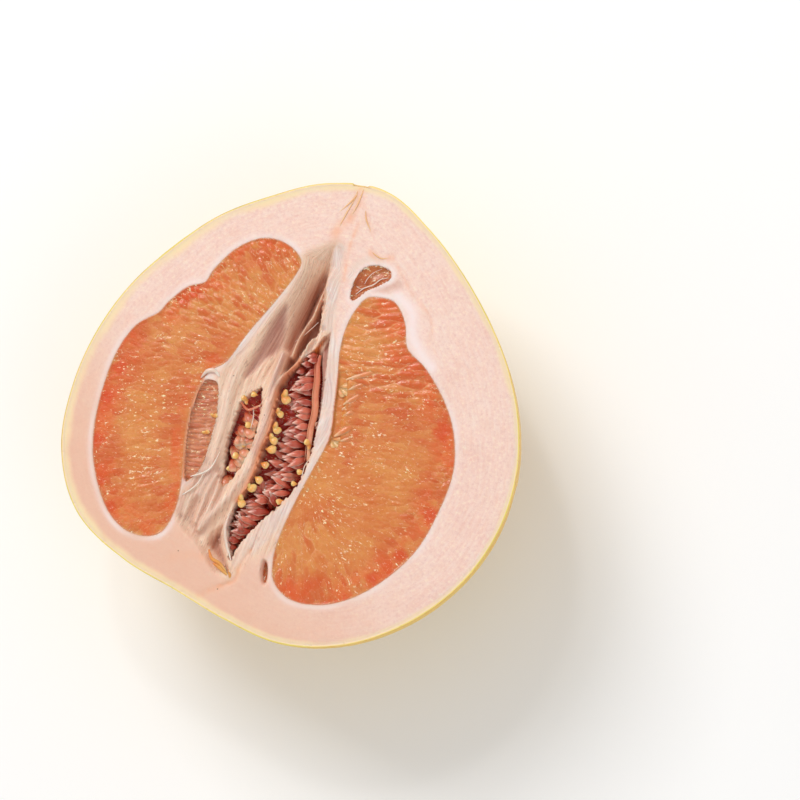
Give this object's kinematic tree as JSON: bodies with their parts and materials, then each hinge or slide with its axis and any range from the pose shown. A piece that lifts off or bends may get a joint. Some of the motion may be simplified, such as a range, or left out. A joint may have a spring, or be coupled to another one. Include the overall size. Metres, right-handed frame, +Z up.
{
  "type": "pomelo half",
  "caption": "Half of a red-fleshed pomelo lying on its back, cut face up, with thick pith, two opened segments and a torn core.",
  "frame": {"origin": "on the flat spot that the fruit rests on, below the middle of the cut face", "axes": "+Z up out of the level cut face, +Y to the stem end, +X to the right of the cut face seen from above with the stem away from the viewer"},
  "size_m": [0.1592, 0.161, 0.0731],
  "materials": {
    "skin": "satin",
    "pith": "matte",
    "flesh": "gloss",
    "sacs": "gloss",
    "pale_sacs": "gloss",
    "seeds": "satin"
  },
  "bodies": {
    "root": {"skin": "skin", "pith": "pith", "flesh_left": "flesh", "flesh_right": "flesh", "inner_sacs": "sacs", "sacs_left_pocket": "pale_sacs", "sacs_top_pocket": "pale_sacs", "seeds_middle": "seeds", "seeds_left": "seeds", "seeds_right": "seeds", "seeds_flesh_edge": "seeds"}
  },
  "joints": []
}
